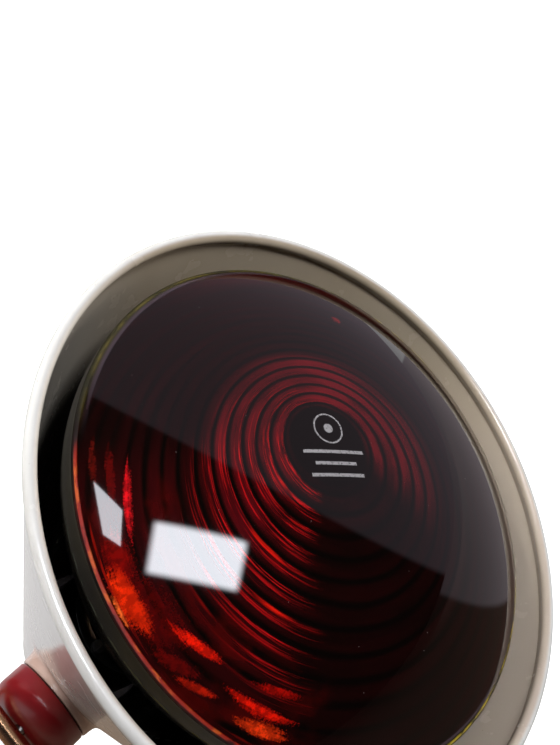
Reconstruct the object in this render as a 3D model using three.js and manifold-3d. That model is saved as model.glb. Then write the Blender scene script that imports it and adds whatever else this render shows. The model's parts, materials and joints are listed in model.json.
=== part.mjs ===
// Infrared reflector lamp on a bent-rod table stand.
// Millimetres, +Z up. The lamp faces -Y and the tilt axis is parallel to X.
// The origin is on the table, at the centre of the footprint.
// Head pieces are drawn in the head's own frame: origin on the tilt axis, +Z along the lamp axis.

import * as THREE from 'three';
import { mergeVertices } from 'three/addons/utils/BufferGeometryUtils.js';
import Module from 'manifold-3d';

const wasm = await Module();
wasm.setup();

// ---------------------------------------------------------------- driving dimensions
const GAP = 0.3; // clearance left between pieces that touch
const PIVOT_HEIGHT = 95; // tilt axis above the table
const PIVOT_Y = 16; // tilt axis behind the middle of the footprint
const REST_ELEVATION = 47.7; // lamp axis above the horizontal, degrees

const BEAD_Z = 77.6; // centre of the rolled rim ahead of the tilt axis
const BEAD_RADIUS = 1.6;
const RIM_RADIUS = 72.5; // outside of the rolled rim
const CONE_RIM_RADIUS = 72.1; // outer cone radius extended to the bead's centre
const CONE_SLOPE = 0.396; // radius lost for each millimetre behind the rim
const SHEET = 1.0; // spun sheet thickness
const SHADE_END_Z = -50; // back of the inward flange
const FLANGE_RADIUS = 13; // opening in the flange
const SHADE_SIDES = 56; // facets around the shade and whatever seats against it

const BULB_RADIUS = 60.8; // reflector bulb, about 122 mm across
const BULB_RING_Z = BEAD_Z - 0.8; // widest ring of the bulb
const BULB_NECK_RADIUS = 11.4;
const BULB_LEAN = 0.9; // degrees the bulb leans in the play of its thread
const LENS_RISE = 18.5; // dome height over the widest ring
const LENS_SHOULDER = 2.3; // rounded edge between the ring and the dome
const LENS_THICKNESS = 2.4;
const ENVELOPE_WALL = 1.4;
const BULB_SIDES = 48;

const CAP_TOP_Z = -15; // Edison cap, 27 mm
const THREAD_PITCH = 3.62;
const THREAD_MEAN = 12.75;
const THREAD_WAVE = 0.42;
const THREAD_TURNS = 5;
const THREAD_SIDES = 16;
const THREAD_TOP_Z = CAP_TOP_Z - 1.6;
const CAP_BOTTOM_Z = THREAD_TOP_Z - THREAD_TURNS * THREAD_PITCH - 0.6;
const CAP_INSULATOR_Z = CAP_BOTTOM_Z - GAP - 2.9;
const BULB_TIP_Z = CAP_INSULATOR_Z - GAP - 1.5;

const HOLDER_RADIUS = 18.5; // moulded lampholder
const HOLDER_FRONT_Z = -18;
const HOLDER_FLOOR_Z = -44.7;
const HOLDER_BACK_Z = SHADE_END_Z + SHEET + GAP;
const HOLDER_SCREW_X = 16.4;
const HOLDER_SCREW_RADIUS = 1;
const HOLDER_BORE_RADIUS = 1.3;

const COVER_FRONT_RADIUS = 21.2; // moulded back cover
const COVER_WALL = 1.8;
const COVER_SHOULDER_Z = -62;
const COVER_BACK_Z = -66;
const COVER_BACK_RADIUS = 12.5;
const COVER_SCREW_Y = 15.4;
const COVER_SCREW_SEAT_Z = -58;
const GLAND_RADIUS = 5.5;
const GLAND_BORE = 3.2;

const SPACER_RADIUS = 11.9; // moulded pivot spacer
const SPACER_END_X = 55.2; // its outer end, where the rod bears on it
const SPACER_DOME = 4.7; // length of the rounding at the outer end
const SPACER_FLAT_RADIUS = 3.9; // flat left in the middle of the rounding
const SEAT_X = 43.9; // pressed seat for the spacer, measured on the tilt axis
const SEAT_SLOPE = 18; // degrees the seat leans from square to the tilt axis
const SEAT_RADIUS = 12.1;
const SEAT_DRAFT = 0.1; // radius the seat's wall gains for each millimetre inwards
const PIVOT_SCREW_RADIUS = 1.25;
const PIVOT_HOLE_RADIUS = 1.6;
const SADDLE_RADIUS = 6.5;
const SADDLE_END_X = 35.5;

const ROD_RADIUS = 2.35;
const ROD_X = SPACER_END_X + GAP + ROD_RADIUS;
const ROD_Z = 4; // crossbar centreline above the table
const ROD_BEND = 8; // centreline bend radius
const FRONT_LEG_SLOPE = 42.8; // front leg below the horizontal, degrees
const LEG_PAST_PIVOT = 20; // from the pivot to the top corner
const REAR_BAR_Y = 70;
const FOOT_X = 38;
const FOOT_LENGTH = 12;

// ---------------------------------------------------------------- helpers
const rad = THREE.MathUtils.degToRad;

function outline(draw, divisions = 6) {
  const path = new THREE.Path();
  draw(path);
  return path.getPoints(divisions);
}

// Turns a profile of (radius, z) points about Z, whichever way round it was drawn.
function lathe(points, segments = 48) {
  let area = 0;
  points.forEach((p, i) => {
    const q = points[(i + 1) % points.length];
    area += p.x * q.y - q.x * p.y;
  });
  const profile = area < 0 ? points.slice().reverse() : points;
  return new THREE.LatheGeometry(profile, segments).rotateX(Math.PI / 2);
}

// A closed ring or cup: the profile is repeated from its first point.
function ring(draw, segments, divisions) {
  const points = outline(draw, divisions);
  points.push(points[0].clone());
  return lathe(points, segments);
}

function rodX(radius, fromX, toX, segments = 24) {
  const geometry = new THREE.CylinderGeometry(radius, radius, toX - fromX, segments);
  return geometry.rotateZ(Math.PI / 2).translate((fromX + toX) / 2, 0, 0);
}

function rodZ(radius, fromZ, toZ, segments = 24) {
  const geometry = new THREE.CylinderGeometry(radius, radius, toZ - fromZ, segments);
  return geometry.rotateX(Math.PI / 2).translate(0, 0, (fromZ + toZ) / 2);
}

function tubeZ(outer, inner, fromZ, toZ, segments = 24) {
  return ring((p) => {
    p.moveTo(inner, fromZ).lineTo(outer, fromZ).lineTo(outer, toZ).lineTo(inner, toZ);
  }, segments);
}

function tubeX(outer, inner, fromX, toX, segments = 24) {
  return tubeZ(outer, inner, fromX, toX, segments).rotateY(Math.PI / 2);
}

function cone(topRadius, bottomRadius, topZ, bottomZ, segments = 32) {
  const geometry = new THREE.CylinderGeometry(topRadius, bottomRadius, topZ - bottomZ, segments);
  return geometry.rotateX(Math.PI / 2).translate(0, 0, (topZ + bottomZ) / 2);
}

function solid(geometry) {
  const bare = geometry.clone();
  bare.deleteAttribute('normal');
  bare.deleteAttribute('uv');
  const merged = mergeVertices(bare, 1e-4);
  return new wasm.Manifold(new wasm.Mesh({
    numProp: 3,
    vertProperties: new Float32Array(merged.attributes.position.array),
    triVerts: new Uint32Array(merged.index.array),
  }));
}

function geometryOf(body) {
  const mesh = body.getMesh();
  const geometry = new THREE.BufferGeometry();
  geometry.setAttribute('position', new THREE.BufferAttribute(mesh.vertProperties, 3));
  geometry.setIndex(new THREE.BufferAttribute(mesh.triVerts, 1));
  return geometry;
}

function cut(geometry, ...tools) {
  return geometryOf(tools.reduce((body, tool) => body.subtract(solid(tool)), solid(geometry)));
}

function join(geometry, ...others) {
  return geometryOf(others.reduce((body, other) => body.add(solid(other)), solid(geometry)));
}

function mirrorX(geometry) {
  const flipped = geometry.clone().scale(-1, 1, 1);
  const index = flipped.index.array;
  for (let i = 0; i < index.length; i += 3) {
    [index[i], index[i + 1]] = [index[i + 1], index[i]];
  }
  return flipped;
}

// Outer radius of the cone at z, or the radius of a cone that lies inset under its surface.
function coneRadius(z, inset = 0) {
  return CONE_RIM_RADIUS - CONE_SLOPE * (BEAD_Z - z) - inset * Math.hypot(1, CONE_SLOPE);
}

// ---------------------------------------------------------------- materials
const finish = (color, roughness, metalness = 0) =>
  new THREE.MeshStandardMaterial({ color, roughness, metalness });

const CREAM_ENAMEL = finish(0xddd8c8, 0.25);
const RUBY_GLASS = finish(0x5a0608, 0.08);
const SILVERED_GLASS = finish(0x3a3a30, 0.25, 0.6);
const BURGUNDY_BAKELITE = finish(0x6d1418, 0.35);
const BLACK_BAKELITE = finish(0x1c1714, 0.4);
const BRASS = finish(0x94673f, 0.3, 1);
const STEEL = finish(0x9a9a98, 0.35, 1);
const TUNGSTEN = finish(0x55555a, 0.4, 1);
const CLEAR_GLASS = finish(0xd8dcd8, 0.1);
const RUBBER = finish(0x2a2624, 0.8);
const FIBRE = finish(0x5c4632, 0.8);

const lamp = new THREE.Group();
const stand = new THREE.Group();
const head = new THREE.Group();
const bulb = new THREE.Group();
stand.position.y = PIVOT_Y;
head.position.z = PIVOT_HEIGHT;
head.rotation.x = rad(90 - REST_ELEVATION);
bulb.rotation.x = -rad(BULB_LEAN);
bulb.position.y = -((CAP_TOP_Z + CAP_BOTTOM_Z) / 2) * Math.sin(rad(BULB_LEAN));
lamp.add(stand);
stand.add(head);
head.add(bulb);

function place(parent, name, geometry, material) {
  const mesh = new THREE.Mesh(geometry, material);
  mesh.name = name;
  parent.add(mesh);
  return mesh;
}

// ---------------------------------------------------------------- shade
// Solid bounded by the cone's outer surface, or by a surface inset under it.
function coneTool(inset) {
  const low = SHADE_END_Z;
  const high = BEAD_Z - 2 * BEAD_RADIUS;
  return lathe([
    new THREE.Vector2(0, low),
    new THREE.Vector2(coneRadius(low, inset), low),
    new THREE.Vector2(coneRadius(high, inset), high),
    new THREE.Vector2(0, high),
  ], SHADE_SIDES);
}

// Drafted wall of a pressed seat, as a solid frustum along X that runs past both of its ends.
function seatWall(inset) {
  const radiusAt = (x) => SEAT_RADIUS - inset + SEAT_DRAFT * (SEAT_X - x);
  const [outerX, innerX] = [SEAT_X + 6, SEAT_X - 14];
  return cone(radiusAt(outerX), radiusAt(innerX), outerX, innerX, 36).rotateY(Math.PI / 2);
}

// Everything outside the plane of a pressed seat, or outside a plane offset from it.
function beyondSeat(offset) {
  const block = new THREE.BoxGeometry(60, 60, 60).translate(30 + offset, 0, 0);
  return block.rotateY(rad(SEAT_SLOPE)).translate(SEAT_X, 0, 0);
}

function shade() {
  const crease = BEAD_Z - 1.4 * BEAD_RADIUS;
  const body = ring((p) => {
    p.moveTo(FLANGE_RADIUS, SHADE_END_Z).lineTo(coneRadius(SHADE_END_Z), SHADE_END_Z);
    p.lineTo(coneRadius(BEAD_Z - BEAD_RADIUS), BEAD_Z - BEAD_RADIUS);
    p.absarc(RIM_RADIUS - BEAD_RADIUS, BEAD_Z, BEAD_RADIUS, rad(-25), rad(210), false);
    p.lineTo(coneRadius(crease, SHEET), crease);
    p.lineTo(coneRadius(SHADE_END_Z + SHEET, SHEET), SHADE_END_Z + SHEET);
    p.lineTo(FLANGE_RADIUS, SHADE_END_Z + SHEET);
  }, SHADE_SIDES, 4);
  const seat = cut(seatWall(0), beyondSeat(0), coneTool(SHEET / 2));
  const hollow = cut(seatWall(SHEET), beyondSeat(-SHEET));
  const flangeHole = rodZ(PIVOT_HOLE_RADIUS, SHADE_END_Z - 2, SHADE_END_Z + 3, 12);
  const flangeHoles = [
    flangeHole.clone().translate(HOLDER_SCREW_X, 0, 0),
    flangeHole.clone().translate(-HOLDER_SCREW_X, 0, 0),
    flangeHole.clone().translate(0, COVER_SCREW_Y, 0),
    flangeHole.clone().translate(0, -COVER_SCREW_Y, 0),
  ];
  const shell = join(body, seat, mirrorX(seat));
  return cut(shell, hollow, mirrorX(hollow), rodX(PIVOT_HOLE_RADIUS, -50, 50, 16), ...flangeHoles);
}

place(head, 'shade', shade(), CREAM_ENAMEL);

// ---------------------------------------------------------------- screws
// Slotted pan-head screw pointing along -X, with its head's underside at x = seat.
function panScrewX(seat, headRadius, headHeight, shankRadius, length) {
  const slot = new THREE.BoxGeometry(1.6, 0.8, 4 * headRadius).translate(seat + headHeight, 0, 0);
  const body = join(
    rodX(headRadius, seat, seat + headHeight, 16),
    rodX(shankRadius, seat - length, seat + headHeight / 2, 12),
  );
  return cut(body, slot);
}

// The same screw pointing along -Z, with its head's underside at z = seat.
function panScrewZ(seat, headRadius, headHeight, shankRadius, length) {
  const screw = panScrewX(0, headRadius, headHeight, shankRadius, length);
  return screw.rotateY(-Math.PI / 2).translate(0, 0, seat);
}

// ---------------------------------------------------------------- bulb
// Outer radius of the silvered bowl behind the widest ring, easing into a straight neck.
function bowlProfile(inset) {
  const at = (radius, behindRing) => new THREE.Vector2(radius - inset, BULB_RING_Z - behindRing);
  const bowl = new THREE.SplineCurve([
    at(BULB_RADIUS, 0),
    at(BULB_RADIUS - 1.2, 8),
    at(53, 22),
    at(40.3, 45.3),
    at(26.5, 65.8),
    at(17.5, 79.2),
    at(13, 87.3),
    at(BULB_NECK_RADIUS, BULB_RING_Z - CAP_TOP_Z - 0.5),
  ]);
  const points = bowl.getPoints(9);
  points.push(new THREE.Vector2(BULB_NECK_RADIUS - inset, CAP_TOP_Z - 7));
  return points;
}

function bulbBowl() {
  const outside = bowlProfile(0);
  const inside = bowlProfile(ENVELOPE_WALL).reverse();
  return lathe([...outside, ...inside, outside[0].clone()], BULB_SIDES);
}

// Spherical dome through the shoulder circle and the apex, as (radius, z) points.
function domePoints(edgeRadius, edgeZ, apexZ, divisions) {
  const rise = apexZ - edgeZ;
  const sphere = (edgeRadius ** 2 + rise ** 2) / (2 * rise);
  const half = Math.asin(edgeRadius / sphere);
  return Array.from({ length: divisions + 1 }, (_, i) => {
    const angle = half * (1 - i / divisions);
    return new THREE.Vector2(sphere * Math.sin(angle), apexZ - sphere * (1 - Math.cos(angle)));
  });
}

function bulbLens() {
  const seatZ = BULB_RING_Z + GAP;
  const shoulderZ = seatZ + LENS_SHOULDER;
  const shoulder = outline((p) => {
    p.moveTo(BULB_RADIUS, seatZ);
    p.quadraticCurveTo(BULB_RADIUS, shoulderZ - 0.6, BULB_RADIUS - 3, shoulderZ);
  }, 4);
  const dome = domePoints(BULB_RADIUS - 3, shoulderZ, seatZ + LENS_RISE, 9);
  const inside = domePoints(BULB_RADIUS - 4.8, seatZ, seatZ + LENS_RISE - LENS_THICKNESS, 5);
  return lathe([...inside.reverse(), ...shoulder, ...dome.slice(1)], BULB_SIDES);
}

// Ring-grooved stand-in for an Edison thread: radius follows a wave along z.
function threadPoints(mean, topZ, turns, stepsPerTurn = 4) {
  const count = turns * stepsPerTurn;
  return Array.from({ length: count + 1 }, (_, i) => {
    const phase = (2 * Math.PI * i) / stepsPerTurn;
    const z = topZ - (THREAD_PITCH * i) / stepsPerTurn;
    return new THREE.Vector2(mean - THREAD_WAVE * Math.cos(phase), z);
  });
}

function bulbCap() {
  const outside = threadPoints(THREAD_MEAN, THREAD_TOP_Z, THREAD_TURNS);
  const bore = THREAD_MEAN - THREAD_WAVE - 0.5;
  const profile = [
    new THREE.Vector2(bore, CAP_TOP_Z),
    new THREE.Vector2(13.2, CAP_TOP_Z),
    ...outside,
    new THREE.Vector2(bore, CAP_BOTTOM_Z),
  ];
  return lathe([...profile, profile[0].clone()], THREAD_SIDES);
}

place(bulb, 'bulb_lens', bulbLens(), RUBY_GLASS);
place(bulb, 'bulb_bowl', bulbBowl(), SILVERED_GLASS);
place(bulb, 'bulb_cap', bulbCap(), BRASS);
place(bulb, 'bulb_cap_insulator', cone(11.4, 6.2, CAP_BOTTOM_Z - GAP, CAP_INSULATOR_Z), BLACK_BAKELITE);
place(bulb, 'bulb_contact', cone(4.6, 3.8, CAP_INSULATOR_Z - GAP, BULB_TIP_Z, 20), STEEL);

const STEM_TOP_Z = 11;
const LEAD_RADIUS = 0.5;
const LEAD_X = 1.8;
const FILAMENT_Z = 31;
const FILAMENT_RADIUS = 7;
const FILAMENT_WIRE = 0.6;

// A path of straight runs and arc bends, with stations only where it turns.
class BentPath extends THREE.Curve {
  constructor(corners, bend, arcSteps) {
    super();
    this.stations = [];
    const last = corners.length - 1;
    const heading = (i) => corners[i + 1].clone().sub(corners[i]).normalize();
    this.add(corners[0], heading(0));
    for (let i = 1; i < last; i += 1) {
      this.addBend(corners[i], heading(i - 1), heading(i), bend, arcSteps);
    }
    this.add(corners[last], heading(last - 1));
  }

  add(point, tangent) {
    this.stations.push({ point, tangent });
  }

  addBend(corner, from, to, bend, arcSteps) {
    const turn = from.angleTo(to);
    const axis = new THREE.Vector3().crossVectors(from, to).normalize();
    const inward = new THREE.Vector3().crossVectors(axis, from);
    const start = corner.clone().addScaledVector(from, -bend * Math.tan(turn / 2));
    const centre = start.clone().addScaledVector(inward, bend);
    for (let k = 0; k <= arcSteps; k += 1) {
      const angle = (turn * k) / arcSteps;
      const arm = start.clone().sub(centre).applyAxisAngle(axis, angle);
      this.add(centre.clone().add(arm), from.clone().applyAxisAngle(axis, angle));
    }
  }

  station(u) {
    return this.stations[Math.round(u * (this.stations.length - 1))];
  }

  getPointAt(u, target = new THREE.Vector3()) {
    return target.copy(this.station(u).point);
  }

  getTangentAt(u, target = new THREE.Vector3()) {
    return target.copy(this.station(u).tangent);
  }
}

function bentRod(corners, radius, bend, sides, arcSteps = 6) {
  const section = new THREE.Shape();
  section.absarc(0, 0, radius, 0, 2 * Math.PI, false);
  const path = new BentPath(corners, bend, arcSteps);
  return new THREE.ExtrudeGeometry(section, {
    steps: path.stations.length - 1,
    curveSegments: sides,
    extrudePath: path,
  });
}

function bulbStem() {
  return ring((p) => {
    p.moveTo(3, CAP_TOP_Z - 5).lineTo(8.6, CAP_TOP_Z - 5).lineTo(5, CAP_TOP_Z + 4);
    p.lineTo(4.2, STEM_TOP_Z).lineTo(3, STEM_TOP_Z);
  }, 32);
}
place(bulb, 'bulb_stem', bulbStem(), CLEAR_GLASS);

for (const [side, sign] of [['left', -1], ['right', 1]]) {
  const wire = bentRod([
    new THREE.Vector3(sign * LEAD_X, 0, CAP_TOP_Z - 12),
    new THREE.Vector3(sign * LEAD_X, 0, STEM_TOP_Z + 3),
    new THREE.Vector3(sign * LEAD_X, FILAMENT_RADIUS, FILAMENT_Z - 8),
    new THREE.Vector3(sign * LEAD_X, FILAMENT_RADIUS, FILAMENT_Z - FILAMENT_WIRE - GAP),
  ], LEAD_RADIUS, 2, 3, 2);
  place(bulb, `bulb_lead_${side}`, wire, STEEL);
}

// Open ring of tungsten standing across the lamp axis, its gap between the two leads.
function filament() {
  const gapHalf = Math.asin(LEAD_X / FILAMENT_RADIUS) - 0.06;
  const start = Math.PI / 2 + gapHalf;
  const sweep = 2 * Math.PI - 2 * gapHalf;
  const count = 12;
  const corners = Array.from({ length: count + 1 }, (_, i) => {
    const angle = start + (sweep * i) / count;
    const radial = new THREE.Vector3(Math.cos(angle), Math.sin(angle), 0);
    return radial.multiplyScalar(FILAMENT_RADIUS).setZ(FILAMENT_Z);
  });
  return bentRod(corners, FILAMENT_WIRE, 1.5, 4, 1);
}
place(bulb, 'bulb_filament', filament(), TUNGSTEN);

// ---------------------------------------------------------------- lampholder
const CONTACT_RIVET_X = 10.5;
const CONTACT_WIDTH = 6;
const CONTACT_SHEET = 0.5;

function holderBody() {
  const body = ring((p) => {
    p.moveTo(3, HOLDER_BACK_Z).lineTo(HOLDER_RADIUS, HOLDER_BACK_Z);
    p.lineTo(HOLDER_RADIUS, HOLDER_FRONT_Z).lineTo(14.6, HOLDER_FRONT_Z);
    p.lineTo(14.6, HOLDER_FLOOR_Z).lineTo(3, HOLDER_FLOOR_Z);
  }, 40);
  const bore = rodZ(HOLDER_BORE_RADIUS, HOLDER_BACK_Z - 2, HOLDER_FRONT_Z + 2, 16);
  const rivet = rodZ(1.3, HOLDER_BACK_Z - 2, HOLDER_FLOOR_Z + 2, 12).translate(CONTACT_RIVET_X, 0, 0);
  const left = bore.clone().translate(-HOLDER_SCREW_X, 0, 0);
  const right = bore.clone().translate(HOLDER_SCREW_X, 0, 0);
  return cut(body, left, right, rivet);
}
place(head, 'lampholder_body', holderBody(), BLACK_BAKELITE);

function holderShell() {
  const inside = threadPoints(THREAD_MEAN + 0.6, THREAD_TOP_Z, THREAD_TURNS);
  const bottom = inside.at(-1).y - 2.5;
  const profile = [
    new THREE.Vector2(14.3, bottom),
    new THREE.Vector2(14.3, inside[0].y),
    ...inside,
    new THREE.Vector2(inside.at(-1).x, bottom),
  ];
  return lathe([...profile, profile[0].clone()], THREAD_SIDES);
}
place(head, 'lampholder_shell', holderShell(), BRASS);

// Centre contact: a bent strip that rises from its rivet to the tip of the bulb.
function centreContact() {
  const topZ = BULB_TIP_Z - GAP;
  const footZ = HOLDER_FLOOR_Z + GAP;
  const strip = new THREE.Shape();
  strip.moveTo(-4, topZ - CONTACT_SHEET).lineTo(4, topZ - CONTACT_SHEET);
  strip.lineTo(7.5, footZ).lineTo(13, footZ).lineTo(13, footZ + CONTACT_SHEET);
  strip.lineTo(7.8, footZ + CONTACT_SHEET).lineTo(4.3, topZ).lineTo(-4, topZ);
  const geometry = new THREE.ExtrudeGeometry(strip, { depth: CONTACT_WIDTH, bevelEnabled: false });
  geometry.rotateX(Math.PI / 2).translate(0, CONTACT_WIDTH / 2, 0);
  return cut(geometry, rodZ(1.3, footZ - 1, footZ + 2, 12).translate(CONTACT_RIVET_X, 0, 0));
}
place(head, 'centre_contact', centreContact(), BRASS);

function contactRivet() {
  const headZ = HOLDER_FLOOR_Z + 2 * GAP + CONTACT_SHEET;
  const tailZ = HOLDER_BACK_Z - GAP;
  return join(
    rodZ(1, tailZ - 0.5, headZ + 0.4, 12),
    rodZ(2, headZ, headZ + 0.8, 16),
    rodZ(1.9, tailZ - 0.8, tailZ, 16),
  ).translate(CONTACT_RIVET_X, 0, 0);
}
place(head, 'contact_rivet', contactRivet(), STEEL);

// Long screws from the front of the lampholder, through the flange, into nuts behind it.
const HOLDER_NUT_HEIGHT = 1.8;
const HOLDER_NUT_Z = SHADE_END_Z - GAP - HOLDER_NUT_HEIGHT;
for (const [side, sign] of [['left', -1], ['right', 1]]) {
  const seat = HOLDER_FRONT_Z + GAP;
  const screw = panScrewZ(seat, 1.9, 1.6, HOLDER_SCREW_RADIUS, seat - HOLDER_NUT_Z + 0.6);
  place(head, `lampholder_screw_${side}`, screw, STEEL).position.x = sign * HOLDER_SCREW_X;
  const hexagon = rodZ(2.3, HOLDER_NUT_Z, HOLDER_NUT_Z + HOLDER_NUT_HEIGHT, 6);
  const nut = cut(hexagon, rodZ(HOLDER_BORE_RADIUS, HOLDER_NUT_Z - 1, SHADE_END_Z, 12));
  place(head, `lampholder_nut_${side}`, nut, STEEL).position.x = sign * HOLDER_SCREW_X;
}

// Clamp terminals on the back of the lampholder, inside the flange's opening.
const TERMINAL_Y = 7.5;
const TERMINAL_HEIGHT = 5;
for (const [pole, sign] of [['line', -1], ['neutral', 1]]) {
  const topZ = HOLDER_BACK_Z - 1.4;
  const bottomZ = topZ - TERMINAL_HEIGHT;
  const block = new THREE.BoxGeometry(8, 5, TERMINAL_HEIGHT).translate(0, 0, (topZ + bottomZ) / 2);
  const wireHole = rodX(1.1, -6, 6, 12).translate(0, 0, topZ - 1.8);
  const screwHole = rodZ(1.2, bottomZ - 1, bottomZ + 3, 12);
  place(head, `terminal_${pole}`, cut(block, wireHole, screwHole), BRASS).position.y = sign * TERMINAL_Y;
  const screw = place(head, `terminal_screw_${pole}`, panScrewZ(0, 1.9, 1.2, 0.9, 1.4), STEEL);
  screw.rotation.x = Math.PI;
  screw.position.set(0, sign * TERMINAL_Y, bottomZ - GAP);
}

// ---------------------------------------------------------------- back cover and cable inlet
function backCover() {
  const frontZ = SHADE_END_Z - GAP;
  const hole = GLAND_RADIUS + GAP;
  const body = ring((p) => {
    p.moveTo(COVER_FRONT_RADIUS - COVER_WALL, frontZ).lineTo(COVER_FRONT_RADIUS, frontZ);
    p.lineTo(COVER_FRONT_RADIUS - 1, frontZ - 3);
    p.quadraticCurveTo(COVER_FRONT_RADIUS - 5, COVER_BACK_Z + 0.5, COVER_BACK_RADIUS, COVER_BACK_Z);
    p.lineTo(hole, COVER_BACK_Z).lineTo(hole, COVER_BACK_Z + COVER_WALL);
    p.lineTo(COVER_BACK_RADIUS - 0.5, COVER_BACK_Z + COVER_WALL);
    p.quadraticCurveTo(COVER_FRONT_RADIUS - 6.5, COVER_SHOULDER_Z, COVER_FRONT_RADIUS - 3, frontZ - 4);
  }, 36, 4);
  const boss = rodZ(3.6, COVER_SCREW_SEAT_Z - 2, frontZ, 20);
  const bore = rodZ(PIVOT_HOLE_RADIUS, COVER_SCREW_SEAT_Z - 4, frontZ + 1, 12);
  const pocket = rodZ(2.7, COVER_BACK_Z - 2, COVER_SCREW_SEAT_Z, 20);
  const at = (geometry, sign) => geometry.clone().translate(0, sign * COVER_SCREW_Y, 0);
  const bosses = geometryOf(solid(at(boss, 1)).add(solid(at(boss, -1))).intersect(solid(coverEnvelope())));
  return cut(join(body, bosses), at(bore, 1), at(bore, -1), at(pocket, 1), at(pocket, -1));
}

// The cover's outside filled solid, which its screw bosses must stay within.
function coverEnvelope() {
  const frontZ = SHADE_END_Z - GAP;
  return lathe(outline((p) => {
    p.moveTo(0, frontZ).lineTo(COVER_FRONT_RADIUS, frontZ).lineTo(COVER_FRONT_RADIUS - 1, frontZ - 3);
    p.quadraticCurveTo(COVER_FRONT_RADIUS - 5, COVER_BACK_Z + 0.5, COVER_BACK_RADIUS, COVER_BACK_Z);
    p.lineTo(0, COVER_BACK_Z);
  }, 4), 36);
}
place(head, 'back_cover', backCover(), CREAM_ENAMEL);

for (const [side, sign] of [['lower', -1], ['upper', 1]]) {
  const seat = COVER_SCREW_SEAT_Z - GAP;
  const screw = panScrewZ(0, 2.3, 1.6, 1.25, SHADE_END_Z + SHEET - seat - 0.1);
  const mesh = place(head, `cover_screw_${side}`, screw, STEEL);
  mesh.rotation.x = Math.PI;
  mesh.position.set(0, sign * COVER_SCREW_Y, seat);
}

const GLAND_NUT_Z = COVER_BACK_Z + COVER_WALL + GAP;
const GLAND_FLANGE_Z = COVER_BACK_Z - GAP;

function cableGland() {
  return ring((p) => {
    p.moveTo(GLAND_BORE, GLAND_NUT_Z + 3).lineTo(GLAND_RADIUS, GLAND_NUT_Z + 3);
    p.lineTo(GLAND_RADIUS, GLAND_FLANGE_Z).lineTo(8, GLAND_FLANGE_Z).lineTo(8, GLAND_FLANGE_Z - 1.6);
    p.lineTo(4.8, GLAND_FLANGE_Z - 4).lineTo(GLAND_BORE, GLAND_FLANGE_Z - 4);
  }, 28);
}
place(head, 'cable_gland', cableGland(), BLACK_BAKELITE);

const glandNut = cut(
  rodZ(8.4, GLAND_NUT_Z, GLAND_NUT_Z + 2.2, 6),
  rodZ(GLAND_RADIUS + GAP, GLAND_NUT_Z - 1, GLAND_NUT_Z + 4, 28),
);
place(head, 'gland_nut', glandNut, STEEL);

// ---------------------------------------------------------------- pivots
const WASHER_RADIUS = 2.9;
const WASHER_HEIGHT = 1;
const SPRING_HEIGHT = 0.7;
const SCREW_SEAT_X = SADDLE_END_X - 2 * GAP - SPRING_HEIGHT;
const SCREW_TIP_X = ROD_X + 1.1;

function pivotSpacer() {
  const shoulderX = SPACER_END_X - SPACER_DOME;
  const recessX = SPACER_END_X - WASHER_HEIGHT - GAP;
  const blank = ring((p) => {
    p.moveTo(PIVOT_HOLE_RADIUS, SEAT_X - 8).lineTo(SPACER_RADIUS, SEAT_X - 8);
    p.lineTo(SPACER_RADIUS, shoulderX);
    p.absellipse(SPACER_FLAT_RADIUS, shoulderX, SPACER_RADIUS - SPACER_FLAT_RADIUS, SPACER_DOME,
      0, Math.PI / 2, false, 0);
    p.lineTo(WASHER_RADIUS + GAP, SPACER_END_X).lineTo(WASHER_RADIUS + GAP, recessX);
    p.lineTo(PIVOT_HOLE_RADIUS, recessX);
  }, 32, 3).rotateY(Math.PI / 2);
  return geometryOf(solid(blank).intersect(solid(beyondSeat(GAP))));
}

// Packing between the hollow back of the seat and the spring washer.
function pivotSaddle() {
  const blank = tubeX(SADDLE_RADIUS, PIVOT_HOLE_RADIUS, SADDLE_END_X, SPACER_END_X);
  return cut(blank, beyondSeat(-SHEET - GAP));
}

function pivotScrew() {
  return mirrorX(panScrewX(-SCREW_SEAT_X, 2.9, 2, PIVOT_SCREW_RADIUS, SCREW_TIP_X - SCREW_SEAT_X));
}

const pivotPieces = [
  ['pivot_spacer', pivotSpacer(), BURGUNDY_BAKELITE, head],
  ['pivot_saddle', pivotSaddle(), FIBRE, head],
  ['friction_washer', tubeX(WASHER_RADIUS, PIVOT_HOLE_RADIUS,
    SPACER_END_X - WASHER_HEIGHT, SPACER_END_X), FIBRE, head],
  ['pivot_screw', pivotScrew(), STEEL, stand],
  ['spring_washer', tubeX(2.9, PIVOT_HOLE_RADIUS,
    SCREW_SEAT_X + GAP, SCREW_SEAT_X + GAP + SPRING_HEIGHT), STEEL, stand],
];
for (const [name, right, material, parent] of pivotPieces) {
  const height = parent === stand ? PIVOT_HEIGHT : 0;
  place(parent, `${name}_right`, right, material).position.z = height;
  place(parent, `${name}_left`, mirrorX(right), material).position.z = height;
}

// ---------------------------------------------------------------- stand
const FRONT_BAR_Y = -(PIVOT_HEIGHT - ROD_Z) / Math.tan(rad(FRONT_LEG_SLOPE));
const TOP_Y = LEG_PAST_PIVOT * Math.cos(rad(FRONT_LEG_SLOPE));
const TOP_Z = PIVOT_HEIGHT + LEG_PAST_PIVOT * Math.sin(rad(FRONT_LEG_SLOPE));
const SLEEVE_BORE = ROD_RADIUS + GAP;

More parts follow.
